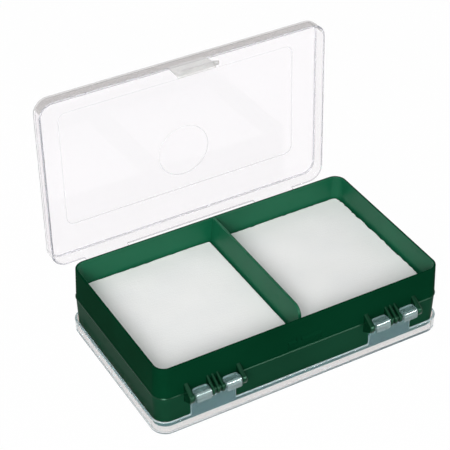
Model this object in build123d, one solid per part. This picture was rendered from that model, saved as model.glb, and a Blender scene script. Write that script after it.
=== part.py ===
from build123d import *
import os
from math import atan, degrees

# A double-sided tackle box: one moulded tray, open above and below a floor at mid height,
# two clear lids of the same form that clip over rods on opposite sides of the tray, and a
# foam pad in each upper compartment. X runs along the box, Y to its back and Z up, and the
# origin is the centre of the closed lower lid's underside. The pieces are built about the
# centre of the closed box, because the lower half is the upper half turned over about X.

# Closed box
box_height = 49.2
lid_to_rim = 5.0
lid_open_angle = 91.9

# Tray
tray_length = 175.0
tray_width = 102.0
tray_corner_radius = 7.0
wall_thickness = 1.3
wall_flare = 0.7
cavity_draft = 0.3
floor_thickness = 1.6
rim_edge_bevel = 0.35
parting_ridge_proud = 0.4
parting_ridge_height = 1.0
parting_ridge_slope = 30.0

# Divider, with a free, rounded front end beside a notch
divider_top_thickness = 1.7
divider_base_thickness = 2.6
divider_lean = 1.7
divider_edge_radius = 0.4
divider_end_radius = 6.5
notch_width = 5.4
notch_depth = 9.0
notch_corner_radius = 2.0

# Hinges
hinge_end_inset = 32.1
hinge_shift = 1.1
hinge_stand_off = 5.4
rod_radius = 1.6
disc_radius = 2.95
disc_thickness = 1.7
disc_pitch = 2.9
disc_count = 3
knuckle_thickness = 2.7
web_half_height = 6.5
knuckle_edge_bevel = 0.4
clip_width = 8.7
clip_wall = 1.55
clip_bore_clearance = 0.05
clip_side_clearance = 0.85
clip_tongue_reach = 2.9
clip_mouth_half_width = 1.25
clip_tip_radius = 0.4
clip_tongue_corner_radius = 1.3
clip_front_radius = 1.6
clip_heel_above_rod = 2.4
hinge_plate_drop = 8.0
hinge_plate_corner_radius = 0.9

# Lids
lid_gap = 0.85
skirt_thickness = 1.3
skirt_depth = 9.0
lid_draft = 0.2
panel_thickness = 1.4
lid_edge_radius = 2.2
lid_inner_bevel = 0.6
frame_length = 147.2
frame_width = 72.9
frame_offset = 3.4
frame_corner_radius = 5.0
frame_depth = 0.2
roundel_radius = 16.0
roundel_offset = 7.8
roundel_depth = 0.2

# Latch: a catch on the tray wall and a hooked tab on the lid's free edge
catch_length = 21.0
catch_proud = 0.75
catch_height = 1.9
catch_above_middle = 5.4
catch_notch_width = 3.6
catch_notch_height = 3.4
catch_notch_offset = 4.0
pocket_height = 3.7
pocket_depth = 0.5
pocket_corner_radius = 0.8
latch_width = 23.6
latch_thickness = 1.4
latch_gap = 1.75
latch_hook = 1.0
latch_hook_height = 1.2
latch_hook_clearance = 0.2
latch_hook_lead = 0.5
latch_bend_above_middle = 8.9
latch_end_above_middle = 0.4
latch_flare = 4.4
latch_lip_thickness = 2.6
latch_edge_radius = 0.4

# Foam pads
pad_thickness = 4.1
pad_clearance = 0.6
pad_edge_bevel = 0.4

# Shared overrun of cutting tools past the face that they cut
overrun = 1.0

# Places worked out from the sizes above, measured from the centre of the closed box
middle_height = box_height / 2
rim_level = middle_height - lid_to_rim
skirt_edge_level = middle_height - skirt_depth
hinge_x = tray_length / 2 - hinge_end_inset
hinge_y = tray_width / 2 + hinge_stand_off
hinge_plate_level = skirt_edge_level - hinge_plate_drop
clip_bore_radius = rod_radius + clip_bore_clearance
clip_outer_radius = clip_bore_radius + clip_wall
disc_group_half_width = disc_pitch * (disc_count - 1) / 2 + disc_thickness / 2
clip_inner_end = disc_group_half_width + clip_side_clearance
clip_outer_end = clip_inner_end + clip_width
knuckle_middle = clip_outer_end + clip_side_clearance + knuckle_thickness / 2
hook_top = catch_above_middle - latch_hook_clearance
hook_bottom = hook_top - latch_hook_height


def tapered_block(length, width, corner, height, draft):
    """A rounded block that stands on Z = 0 and whose sides lean in by draft over its height."""
    outline = RectangleRounded(length, width, corner)
    return extrude(outline, height, taper=degrees(atan(draft / height)))


def top_face(solid):
    """The highest face of a solid."""
    return solid.faces().sort_by(Axis.Z)[-1]


def round_edge_near(solid, point, radius):
    """Round the one edge of a solid whose middle lies nearest to a point."""
    return fillet(solid.edges().sort_by_distance(point)[:1], radius)


def round_corner_near(outline, point, radius):
    """Round the one corner of a flat outline that lies nearest to a point."""
    return fillet(outline.vertices().sort_by_distance(point)[:1], radius)


def turned_over(solid):
    """The same solid turned half a turn about the box's long middle line."""
    return solid.rotate(Axis.X, 180)


def both_hinges(solid):
    """A copy of a hinge part at each of the two hinge places, both a little left of even."""
    return [Pos(side * hinge_x - hinge_shift, 0, 0) * solid for side in (-1, 1)]


def wall_flare_at(level):
    """How far the tray's outer wall stands proud of its rim line at a level."""
    return wall_flare * (rim_level - level) / rim_level


def cavity_outline_size():
    """Length, width and corner radius of a compartment pair at the floor."""
    inset = wall_thickness + cavity_draft
    return tray_length - 2 * inset, tray_width - 2 * inset, tray_corner_radius - inset


def tray_shell():
    """Upper half of the tray: drafted walls on half of the floor, with the parting ridge."""
    spread = 2 * wall_flare
    walls = tapered_block(
        tray_length + spread, tray_width + spread, tray_corner_radius + wall_flare, rim_level, wall_flare
    )
    depth = rim_level - floor_thickness / 2
    cavity = tapered_block(
        tray_length - 2 * wall_thickness,
        tray_width - 2 * wall_thickness,
        tray_corner_radius - wall_thickness,
        depth,
        cavity_draft,
    )
    shell = walls - Pos(0, 0, rim_level) * Rot(180, 0, 0) * cavity
    shell = chamfer(top_face(shell).edges(), rim_edge_bevel)
    proud = wall_flare + parting_ridge_proud
    ridge_outline = RectangleRounded(
        tray_length + 2 * proud, tray_width + 2 * proud, tray_corner_radius + proud
    )
    ridge = extrude(ridge_outline, parting_ridge_height / 2, taper=parting_ridge_slope)
    return shell + ridge


def divider():
    """Leaning divider of the upper compartments, with its rounded front end and the notch."""
    back = tray_width / 2 - wall_thickness / 2
    front_end = -(tray_width / 2 - wall_thickness - notch_width)
    side_view = Plane.YZ * Polygon(
        (-back, 0), (back, 0), (back, rim_level), (-back, rim_level), align=None
    )
    blank = extrude(side_view, tray_corner_radius, both=True)
    notch = Pos(0, front_end, rim_level) * Box(
        2 * tray_corner_radius + overrun,
        tray_width,
        2 * notch_depth,
        align=(Align.CENTER, Align.MAX, Align.CENTER),
    )
    blank -= notch
    notch_floor = rim_level - notch_depth
    blank = round_edge_near(blank, (0, front_end, rim_level), divider_end_radius)
    blank = round_edge_near(blank, (0, front_end, notch_floor), notch_corner_radius)
    base_half = divider_base_thickness / 2
    top_half = divider_top_thickness / 2
    end_view = Polygon(
        (-base_half, 0),
        (base_half, 0),
        (divider_lean + top_half, rim_level),
        (divider_lean - top_half, rim_level),
        align=None,
    )
    end_view = fillet(end_view.vertices().sort_by(Axis.Y)[-2:], divider_edge_radius)
    slab = extrude(Plane.XZ * end_view, tray_width / 2, both=True)
    return slab & blank


def catch():
    """Ledge on the front wall that the upper lid's latch hooks under."""
    top = catch_above_middle + catch_height
    proud_face = tray_width / 2 + wall_flare_at(catch_above_middle) + catch_proud
    root = tray_width / 2 - wall_thickness / 2
    side_view = Plane.YZ * Polygon(
        (-root, catch_above_middle),
        (-proud_face, catch_above_middle),
        (-proud_face, top - catch_height / 2),
        (-tray_width / 2 - wall_flare_at(top), top),
        (-root, top),
        align=None,
    )
    return extrude(side_view, catch_length / 2, both=True)


def catch_pocket():
    """Shallow pocket below the catch for the latch's hook, with the notch up through the ledge."""
    floor_y = -(tray_width / 2 + wall_flare_at(catch_above_middle) - pocket_depth)
    outline = RectangleRounded(catch_length, pocket_height, pocket_corner_radius)
    notch = RectangleRounded(catch_notch_width, 2 * catch_notch_height, pocket_corner_radius)
    outline += Pos(-catch_notch_offset, pocket_height / 2) * notch
    tool = extrude(outline, wall_flare + catch_proud + overrun)
    return Pos(0, floor_y, catch_above_middle - pocket_height / 2) * Rot(90, 0, 0) * tool


def hinge_web(thickness):
    """One plate of a hinge: a disc about the rod that runs out into two webs on the wall."""
    disc = CenterArc((hinge_y, 0), disc_radius, 0, 360)
    foot = Line((tray_width / 2, -web_half_height), (tray_width / 2, web_half_height))
    return extrude(Plane.YZ * make_hull([disc, foot]), thickness / 2, both=True)


def tray_hinge():
    """Rod between two knuckles, with discs that keep the lid's clips apart."""
    rod = Pos(0, hinge_y, 0) * Rot(0, 90, 0) * Cylinder(rod_radius, 2 * knuckle_middle)
    disc = hinge_web(disc_thickness)
    first = -disc_pitch * (disc_count - 1) / 2
    hinge = rod + [Pos(first + disc_pitch * n, 0, 0) * disc for n in range(disc_count)]
    knuckle = hinge_web(knuckle_thickness)
    knuckle = chamfer(knuckle.faces().filter_by(Axis.X).edges(), knuckle_edge_bevel)
    return hinge + [Pos(side * knuckle_middle, 0, 0) * knuckle for side in (-1, 1)]


def tray_half():
    """Upper half of the tray, with the upper lid's hinges and catch."""
    half = tray_shell() + divider() + catch() + both_hinges(tray_hinge())
    return half - catch_pocket()


def tray():
    """The whole tray: the upper half and its copy turned over."""
    half = tray_half()
    return half + turned_over(half)


def clip_section():
    """Section of a clip in the YZ plane, about the rod: a squared hook on the root that joins the plate."""
    skirt_inner = lid_gap - hinge_stand_off
    skirt_outer = skirt_inner + skirt_thickness
    plate_middle = hinge_plate_level + hinge_plate_drop / 2
    front_corner = (clip_outer_radius, -clip_outer_radius)
    heel_corner = (clip_outer_radius, clip_heel_above_rod)
    tongue_corner = (-clip_tongue_reach, -clip_outer_radius)
    lip_corner = (-clip_tongue_reach, -clip_mouth_half_width)
    section = Polygon(
        (0, -clip_mouth_half_width),
        lip_corner,
        tongue_corner,
        front_corner,
        heel_corner,
        (0, clip_outer_radius),
        (skirt_outer, clip_outer_radius + clip_wall),
        (skirt_outer, plate_middle),
        (skirt_inner, plate_middle),
        (skirt_inner, clip_outer_radius),
        (skirt_inner + clip_bore_radius, clip_mouth_half_width),
        (0, clip_mouth_half_width),
        align=None,
    )
    section = round_corner_near(section, front_corner, clip_front_radius)
    for corner in (heel_corner, tongue_corner, lip_corner):
        section = round_corner_near(section, corner, clip_tip_radius)
    return section - Circle(clip_bore_radius)


def clip():
    """A clip about the rod, whose tongue has two corners rounded in plan."""
    blank = extrude(Plane.YZ * clip_section(), clip_width / 2, both=True)
    depth = clip_tongue_reach + clip_outer_radius
    plan = RectangleRounded(clip_width, 2 * depth, clip_tongue_corner_radius)
    plan = Pos(0, depth - clip_tongue_reach, 0) * extrude(plan, clip_outer_radius + overrun, both=True)
    hook = split(blank, Plane.XY, keep=Keep.BOTTOM) & plan
    return split(blank, Plane.XY, keep=Keep.TOP) + hook


def lid_hinge():
    """Plate that carries the skirt on towards the hinge, with its two clips."""
    inner_face = tray_width / 2 + lid_gap
    plate_height = hinge_plate_drop + skirt_thickness
    outline = RectangleRounded(2 * clip_outer_end, 2 * plate_height, hinge_plate_corner_radius)
    outline &= Pos(0, plate_height / 2) * Rectangle(2 * clip_outer_end, plate_height)
    plate = extrude(Plane.XZ * outline, skirt_thickness)
    plate = Pos(0, inner_face + skirt_thickness, hinge_plate_level) * plate
    clip_middle = (clip_inner_end + clip_outer_end) / 2
    return plate + [Pos(side * clip_middle, hinge_y, 0) * clip() for side in (-1, 1)]


def latch_tab():
    """Tab on the lid's free edge: a hook on its inside and a lip flared out for a finger."""
    rim_line = tray_width / 2
    inner = rim_line + latch_gap
    outer = inner + latch_thickness
    skirt_inner = rim_line + lid_gap
    skirt_outer = skirt_inner + skirt_thickness
    hook = inner - latch_hook
    lip = outer + latch_flare
    flare_at_hook = latch_flare * (latch_bend_above_middle - hook_bottom)
    flare_at_hook /= latch_bend_above_middle - latch_end_above_middle
    side_view = Plane.YZ * Polygon(
        (-skirt_inner, skirt_edge_level + skirt_thickness),
        (-skirt_inner, skirt_edge_level),
        (-inner, skirt_edge_level - skirt_thickness),
        (-inner, hook_top),
        (-hook, hook_top),
        (-hook, hook_bottom + latch_hook_lead),
        (-hook - latch_hook_lead, hook_bottom),
        (-outer - flare_at_hook + latch_lip_thickness, hook_bottom),
        (-lip + latch_lip_thickness, latch_end_above_middle),
        (-lip, latch_end_above_middle),
        (-outer, latch_bend_above_middle),
        (-skirt_outer, skirt_edge_level + skirt_thickness),
        align=None,
    )
    tab = extrude(side_view, latch_width / 2, both=True)
    return fillet(tab.edges().filter_by(Axis.X).group_by(Axis.Y)[0], latch_edge_radius)


def closed_lid():
    """The upper lid as it lies when the box is closed."""
    reach = lid_gap + skirt_thickness
    outside = tapered_block(
        tray_length + 2 * reach, tray_width + 2 * reach, tray_corner_radius + reach, skirt_depth, lid_draft
    )
    outside = fillet(top_face(outside).edges(), lid_edge_radius)
    inside = tapered_block(
        tray_length + 2 * lid_gap,
        tray_width + 2 * lid_gap,
        tray_corner_radius + lid_gap,
        skirt_depth - panel_thickness,
        lid_draft,
    )
    inside = chamfer(top_face(inside).edges(), lid_inner_bevel)
    lid = Pos(0, 0, skirt_edge_level) * (outside - inside)
    lid += both_hinges(lid_hinge())
    lid += latch_tab()
    return lid - panel_relief()


def panel_relief():
    """Shallow framed field and plain roundel sunk into the inner face of the panel."""
    inner_face = middle_height - panel_thickness
    field = extrude(RectangleRounded(frame_length, frame_width, frame_corner_radius), frame_depth + overrun)
    roundel = extrude(Circle(roundel_radius), roundel_depth + overrun)
    return Pos(0, -frame_offset, inner_face - overrun) * field + [
        Pos(0, roundel_offset, inner_face + frame_depth - overrun) * roundel
    ]


def foam_pad(side):
    """Foam pad on the floor of one upper compartment: side is -1 at the left and 1 at the right."""
    length, width, corner = cavity_outline_size()
    outline = RectangleRounded(
        length - 2 * pad_clearance, width - 2 * pad_clearance, corner - pad_clearance
    )
    pad_top = floor_thickness / 2 + pad_thickness
    lean_at_top = divider_lean * pad_top / rim_level
    divider_face = max(0, side * lean_at_top) + divider_base_thickness / 2
    half = Pos(side * (divider_face + pad_clearance), 0) * Rectangle(
        tray_length, tray_width, align=(Align.MIN if side > 0 else Align.MAX, Align.CENTER)
    )
    pad = extrude(outline & half, pad_thickness)
    pad = chamfer(top_face(pad).edges(), pad_edge_bevel)
    return Pos(0, 0, floor_thickness / 2) * pad


def standing_on_the_floor(solid):
    """A solid moved from the middle of the closed box to its place above the origin."""
    return Pos(0, 0, middle_height) * solid


def main():
    """Build every piece in place and write one file for each."""
    lid = closed_lid()
    upper_hinge_line = Axis((0, hinge_y, 0), (-1, 0, 0))
    pieces = {
        "tray_body": tray(),
        "top_lid": lid.rotate(upper_hinge_line, lid_open_angle),
        "bottom_lid": turned_over(lid),
        "foam_pad_left": foam_pad(-1),
        "foam_pad_right": foam_pad(1),
    }
    os.makedirs("parts", exist_ok=True)
    for name, solid in pieces.items():
        export_step(standing_on_the_floor(solid), os.path.join("parts", name + ".step"))


main()
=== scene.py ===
"""Look of a two-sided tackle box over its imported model.

A green moulded tray stands in a closed clear lid, with a second clear lid open behind it and a foam
pad in each upper compartment. Sizes are in millimetres, and levels are measured from the middle of
the closed box, as in the part's own source. Every piece is worked out for the closed upper half and
then stands where its half belongs.
"""

import logging
from collections.abc import Callable
from dataclasses import dataclass, field
from enum import Enum, IntEnum
from math import asin, atan2, cos, degrees, pi, radians, sin, sqrt
from typing import Any

import bpy
import numpy as np
from mathutils import Matrix, Vector


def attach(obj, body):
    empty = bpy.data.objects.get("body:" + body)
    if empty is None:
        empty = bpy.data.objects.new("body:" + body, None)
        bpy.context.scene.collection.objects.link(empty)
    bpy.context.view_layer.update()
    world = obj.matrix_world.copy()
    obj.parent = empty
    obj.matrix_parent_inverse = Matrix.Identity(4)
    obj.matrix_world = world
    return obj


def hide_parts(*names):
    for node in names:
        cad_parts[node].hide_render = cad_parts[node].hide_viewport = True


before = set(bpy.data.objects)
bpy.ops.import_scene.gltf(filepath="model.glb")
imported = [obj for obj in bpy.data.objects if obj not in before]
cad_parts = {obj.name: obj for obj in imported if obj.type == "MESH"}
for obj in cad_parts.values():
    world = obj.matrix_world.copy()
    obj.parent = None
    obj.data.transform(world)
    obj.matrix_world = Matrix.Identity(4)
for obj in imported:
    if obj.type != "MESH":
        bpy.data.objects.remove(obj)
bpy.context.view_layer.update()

log = logging.getLogger("tackle_box")
MILLIMETRE = 0.001
CORNER_STEPS = 12
CURVED_PIECE_ANGLE = 50.0
Array = np.ndarray
Level = float | np.ndarray
Piece = bpy.types.Object
Material = bpy.types.Material
Pair = tuple[float, float]
Triple = tuple[float, float, float]


# Places

@dataclass(frozen=True)
class BoxSizes:
    """Sizes that several sub-assemblies share."""

    middle_height: float = 24.6
    rim_level: float = 19.6
    half_length: float = 87.5
    half_width: float = 51.0
    corner: float = 7.0
    wall: float = 1.3
    wall_flare: float = 0.7
    cavity_draft: float = 0.3
    floor_half: float = 0.8
    hinge_x: float = 55.4
    hinge_shift: float = 1.1
    hinge_y: float = 56.4
    rod_radius: float = 1.6
    clip_inner_end: float = 4.6
    clip_outer_end: float = 13.3
    lid_open_angle: float = 91.9

    def flare_at(self, level: Level) -> Level:
        """How far the outer wall stands out at a level: a straight lean, widest at mid height."""
        return self.wall_flare * (self.rim_level - np.abs(level)) / self.rim_level

    def hinge_middle(self, side: int) -> float:
        """Middle of the left (-1) or right (1) hinge: both sit a little left of even."""
        return side * self.hinge_x - self.hinge_shift


BOX = BoxSizes()


class Stance(Enum):
    """How a piece worked out for the closed upper half stands in the finished box."""

    UPPER = "upper half"
    LOWER = "upper half turned over about the box's long middle line"
    OPEN = "upper half swung back about the rear hinge line"

    def _turned(self, y: Array, z: Array, way: int) -> tuple[Array, Array]:
        """y and level moved to this stance (way 1) or back from it (way -1).

        Turning over negates both. Swinging turns them in their plane about the hinge line:
        out cos(angle) + z sin(angle), and z cos(angle) - out sin(angle).
        """
        if self is Stance.LOWER:
            return -y, -z
        if self is Stance.OPEN:
            angle = way * radians(BOX.lid_open_angle)
            out = y - BOX.hinge_y
            y = BOX.hinge_y + out * cos(angle) + z * sin(angle)
            z = z * cos(angle) - out * sin(angle)
        return y, z

    def stand(self, points: Array) -> Array:
        """Points (N, 3) of the closed upper half, moved here, in metres above the ground."""
        x, y, z = points.T
        y, z = self._turned(y, z, 1)
        return np.column_stack([x, y, z + BOX.middle_height]) * MILLIMETRE

    def lay_back(self, points: Array) -> Array:
        """The reverse of stand."""
        x, y, z = (points / MILLIMETRE).T
        y, z = self._turned(y, z - BOX.middle_height, -1)
        return np.column_stack([x, y, z])


@dataclass(frozen=True)
class Columns:
    """Columns that every ring of one surface shares.

    A column is a stretch of a rounded rectangle and a share of that stretch from 0 to 1. Even
    stretches are the straight sides front, right, back and left, and odd ones are the corners that
    follow them.
    """

    stretch: Array
    share: Array

    @classmethod
    def spaced(cls, *sides: Array) -> "Columns":
        """Columns from shares along each side, with even steps round each corner.

        Args:
            sides: rising shares strictly between 0 and 1 along the front, right, back and left.

        Returns:
            The columns, anticlockwise seen from above.
        """
        turn = np.linspace(0.0, 1.0, CORNER_STEPS + 1)
        shares = [part for side in sides for part in (side, turn)]
        stretch = np.concatenate([np.full(len(part), n) for n, part in enumerate(shares)])
        return cls(stretch, np.concatenate(shares))

    @property
    def on_back(self) -> Array:
        """Whether each column is on the straight back side."""
        return self.stretch == 4


@dataclass(frozen=True)
class RoundedOutline:
    """Rounded rectangle that a ring of columns follows, at any distance outside or inside it."""

    half_length: float
    half_width: float
    corner: float
    centre: Pair = (0.0, 0.0)

    @property
    def reach(self) -> Array:
        """Place of the right back corner's centre from the middle."""
        return np.array([self.half_length - self.corner, self.half_width - self.corner])

    def ring(self, columns: Columns, offset: Level = 0.0) -> Array:
        """Points of the outline moved out along its normals.

        Each point is a corner's centre, slid along the side on a straight stretch, plus the corner
        radius and the offset along the outward normal, which turns a quarter round each corner.

        Args:
            columns: the columns to place.
            offset: distance outside the outline, one value or one for each column.

        Returns:
            Points (N, 2) of x and y.
        """
        centres = np.array([[1.0, -1.0], [1.0, 1.0], [-1.0, 1.0], [-1.0, -1.0]]) * self.reach
        side = columns.stretch // 2
        on_corner = columns.stretch % 2 == 1
        share = columns.share[:, None]
        slid = centres[side - 1] * (1 - share) + centres[side] * share
        centre = np.where(on_corner[:, None], centres[side], slid)
        angle = (side - 1 + np.where(on_corner, columns.share, 0.0)) * pi / 2
        normal = np.column_stack([np.cos(angle), np.sin(angle)])
        radius = self.corner + np.broadcast_to(np.asarray(offset, float), angle.shape)
        return centre + radius[:, None] * normal + np.array(self.centre)

    def side_shares(self, places: Array, backwards: bool = False) -> Array:
        """Shares of x places along a long side; the path runs backwards at the back."""
        half = self.reach[0]
        shares = (np.sort(places) + half) / (2 * half)
        return (1 - shares)[::-1] if backwards else shares

    def outside(self, x: Array, y: Array) -> Array:
        """How far places lie outside the outline, negative inside.

        It is the distance to the rectangle of the corners' centres, less the corner radius.
        """
        over_x, over_y = np.abs(x) - self.reach[0], np.abs(y) - self.reach[1]
        beyond = np.hypot(np.clip(over_x, 0, None), np.clip(over_y, 0, None))
        return beyond + np.clip(np.maximum(over_x, over_y), None, 0) - self.corner


RIM = RoundedOutline(BOX.half_length, BOX.half_width, BOX.corner)


def arc(centre: Pair, radius: float, start: float, end: float, steps: int) -> Array:
    """Points (steps + 1, 2) of an arc: centre plus radius at even angles in degrees."""
    angle = np.radians(np.linspace(start, end, steps + 1))
    return np.asarray(centre) + radius * np.column_stack([np.cos(angle), np.sin(angle)])


def rounded(corners: list[Triple], steps: int = 6) -> Array:
    """Points of a path whose corners are rounded.

    Each corner gives way to the arc that touches both of its sides. It starts the radius over
    tan(half the angle between the sides) before the corner, and its points are the centre plus the
    radius along directions that turn evenly from one touching point to the other.

    Args:
        corners: first value, second value and radius of each corner; a radius of 0 keeps the point.
        steps: number of steps round each arc.

    Returns:
        Points (K, 2) of the closed path.
    """
    places = np.array([corner[:2] for corner in corners])
    around = zip(places, np.roll(places, 1, 0), np.roll(places, -1, 0), corners)
    parts = []
    for place, before, after, (_, _, radius) in around:
        if radius == 0:
            parts.append(place[None, :])
            continue
        to_before = (before - place) / np.linalg.norm(before - place)
        to_after = (after - place) / np.linalg.norm(after - place)
        half = np.arccos(np.clip(to_before @ to_after, -1, 1)) / 2
        inward = (to_before + to_after) / np.linalg.norm(to_before + to_after)
        centre = place + inward * radius / np.sin(half)
        tangent = radius / np.tan(half)
        first, last = (place + way * tangent - centre for way in (to_before, to_after))
        share = np.linspace(0.0, 1.0, steps + 1)[:, None]
        turn = pi - 2 * half
        spread = (np.sin((1 - share) * turn) * first + np.sin(share * turn) * last) / np.sin(turn)
        parts.append(centre + spread)
    return np.vstack(parts)


def flat_ring(ring: Array, level: Level) -> Array:
    """Points (N, 3) of a ring of x and y at one level, or at a level for each column."""
    return np.column_stack([ring, np.broadcast_to(np.asarray(level, float), len(ring))])


# Surfaces

@dataclass
class Surface:
    """Closed surfaces gathered as whole arrays until they become one mesh."""

    points: list[Array] = field(default_factory=list)
    faces: list[list[int]] = field(default_factory=list)
    count: int = 0

    def add(self, points: Array) -> Array:
        """Take in points (N, 3) and return their numbers."""
        self.points.append(points)
        self.count += len(points)
        return np.arange(self.count - len(points), self.count)

    def bridge(self, low: Array, high: Array, closed: bool = True) -> None:
        """Join two rows of point numbers by one quad for each step, back to the start if closed."""
        quads = np.column_stack([low, np.roll(low, -1), np.roll(high, -1), high])
        self.faces.extend((quads if closed else quads[:-1]).tolist())

    def sweep(self, rows: list[Array]) -> None:
        """Skin rings of points (N, 3) in order and cap the first and the last."""
        numbers = [self.add(row) for row in rows]
        for low, high in zip(numbers, numbers[1:]):
            self.bridge(low, high)
        self.faces += [numbers[0][::-1].tolist(), numbers[-1].tolist()]

    def volume(self) -> float:
        """Six times the enclosed volume, from the triple product of each face's triangles."""
        points = np.vstack(self.points)
        fans = [(face[0], a, b) for face in self.faces for a, b in zip(face[1:], face[2:])]
        a, b, c = (points[list(corner)] for corner in zip(*fans))
        return float(np.einsum("ij,ij->i", a, np.cross(b, c)).sum())

    def piece(self, name: str, stance: Stance) -> Piece:
        """Put the surface into a new smooth object at the origin, its faces outward.

        Args:
            name: the object's name.
            stance: where the closed upper half's points stand.

        Returns:
            The object, linked to the scene.
        """
        faces = self.faces if self.volume() > 0 else [face[::-1] for face in self.faces]
        mesh = bpy.data.meshes.new(name)
        mesh.from_pydata(stance.stand(np.vstack(self.points)).tolist(), [], faces)
        mesh.validate()
        smooth(mesh)
        return placed(name, mesh)


def placed(name: str, data: bpy.types.ID) -> Piece:
    """Link a new object with its data to the scene."""
    thing = bpy.data.objects.new(name, data)
    bpy.context.scene.collection.objects.link(thing)
    return thing


def face_middles(piece: Piece) -> Array:
    """Middle (N, 3) of each face of a piece, in metres."""
    middles = np.empty(3 * len(piece.data.polygons))
    piece.data.polygons.foreach_get("center", middles)
    return middles.reshape(-1, 3)


def smooth(mesh: bpy.types.Mesh, sharp_angle: float = 32.0) -> None:
    """Shade a mesh smooth, with creases where faces meet at more than an angle in degrees."""
    mesh.polygons.foreach_set("use_smooth", np.ones(len(mesh.polygons), bool))
    mesh.set_sharp_from_angle(angle=radians(sharp_angle))


def modified(piece: Piece, kind: str, settings: dict[str, Any]) -> Piece:
    """Give a piece a modifier of a kind with its settings, and return the piece."""
    modifier = piece.modifiers.new(kind, kind)
    for key, value in settings.items():
        setattr(modifier, key, value)
    return piece


def applied(piece: Piece) -> Piece:
    """Replace a piece's mesh with its shape under its modifiers, and return the piece."""
    graph = bpy.context.evaluated_depsgraph_get()
    mesh = bpy.data.meshes.new_from_object(piece.evaluated_get(graph), depsgraph=graph)
    plain = piece.data
    piece.modifiers.clear()
    piece.data = mesh
    mesh.name = plain.name
    bpy.data.meshes.remove(plain)
    smooth(mesh)
    return piece


def bevelled(piece: Piece, width: float, segments: int = 3, angle: float = 35.0) -> Piece:
    """Round a piece's edges that are sharper than an angle, by a width, and return the piece."""
    settings = {"width": width * MILLIMETRE, "segments": segments, "limit_method": "ANGLE"}
    return applied(modified(piece, "BEVEL", {**settings, "angle_limit": radians(angle)}))


class Carve(Enum):
    """What a second solid does to the first."""

    ADD = "UNION"
    TAKE_AWAY = "DIFFERENCE"


def carved(piece: Piece, tool: Piece, carve: Carve = Carve.ADD) -> Piece:
    """Join a solid to a piece or cut it away, use the tool up, and return the piece."""
    settings = {"operation": carve.value, "solver": "EXACT", "object": tool}
    applied(modified(piece, "BOOLEAN", settings))
    used = tool.data
    bpy.data.objects.remove(tool)
    bpy.data.meshes.remove(used)
    return piece


def bars(name: str, stance: Stance, outline: Array, spans: list[tuple[Level, Level]],
         edge: float = 0.0, segments: int = 3, angle: float = 35.0) -> Piece:
    """Bars along x whose section is an outline, their edges rounded unless the edge is 0.

    Args:
        name: the piece's name.
        stance: where the closed upper half's points stand.
        outline: points (K, 2) of y and level, anticlockwise seen from the right.
        spans: x of each bar's left and right end, one value or one for each point.
        edge: width of the rounding.
        segments: number of its steps.
        angle: angle in degrees past which an edge is rounded.

    Returns:
        The piece.
    """
    surface = Surface()
    for span in spans:
        ends = [np.broadcast_to(np.asarray(x, float), len(outline)) for x in span]
        surface.sweep([np.column_stack([end, outline]) for end in ends])
    piece = surface.piece(name, stance)
    return bevelled(piece, edge, segments, angle) if edge else piece


def paint(piece: Piece, part: Array) -> None:
    """Give each face of a piece the finish with that number."""
    piece.data.polygons.foreach_set("material_index", part.astype(np.int32))


def dress(piece: Piece, finishes: list[Material], body: str, slot: str, node: str) -> None:
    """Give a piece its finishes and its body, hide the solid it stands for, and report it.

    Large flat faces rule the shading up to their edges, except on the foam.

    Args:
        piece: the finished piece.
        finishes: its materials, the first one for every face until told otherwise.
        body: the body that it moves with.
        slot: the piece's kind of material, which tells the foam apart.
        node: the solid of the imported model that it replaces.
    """
    if slot != "foam":
        evened = {"mode": "FACE_AREA", "weight": 50, "keep_sharp": True}
        modified(piece, "WEIGHTED_NORMAL", evened)
    piece.data.materials.clear()
    for finish in finishes:
        piece.data.materials.append(finish)
    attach(piece, body)
    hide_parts(node)
    log.info("%s: %d faces on %s, for %s", piece.name, len(piece.data.polygons), body, node)


# Shading

def arithmetic(kind: str, reflected: bool = False) -> Callable[["Value", Any], "Value"]:
    """Arithmetic by a Math node of a kind, its operands swapped if the number stands in front."""

    def combine(own: "Value", other: "Value | float") -> "Value":
        """The node's output for two operands."""
        operands = {0: other, 1: own} if reflected else {0: own, 1: other}
        return own.tree.node("ShaderNodeMath", {"operation": kind}, operands)

    return combine


class Value:
    """A socket of a shader tree that takes part in arithmetic, where | gives the greater value."""

    def __init__(self, tree: "Shading", socket: bpy.types.NodeSocket) -> None:
        """Hold a socket of a tree."""
        self.tree = tree
        self.socket = socket

    __add__, __radd__ = arithmetic("ADD"), arithmetic("ADD", reflected=True)
    __sub__, __rsub__ = arithmetic("SUBTRACT"), arithmetic("SUBTRACT", reflected=True)
    __mul__, __rmul__ = arithmetic("MULTIPLY"), arithmetic("MULTIPLY", reflected=True)
    __pow__, __or__ = arithmetic("POWER"), arithmetic("MAXIMUM")

    def ramp(self, low: float, high: float) -> "Value":
        """0 below low, 1 above high, and a smooth step between them."""
        sockets = {"Value": self, "From Min": low, "From Max": high}
        step = {"interpolation_type": "SMOOTHSTEP"}
        return self.tree.node("ShaderNodeMapRange", step, sockets)


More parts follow.
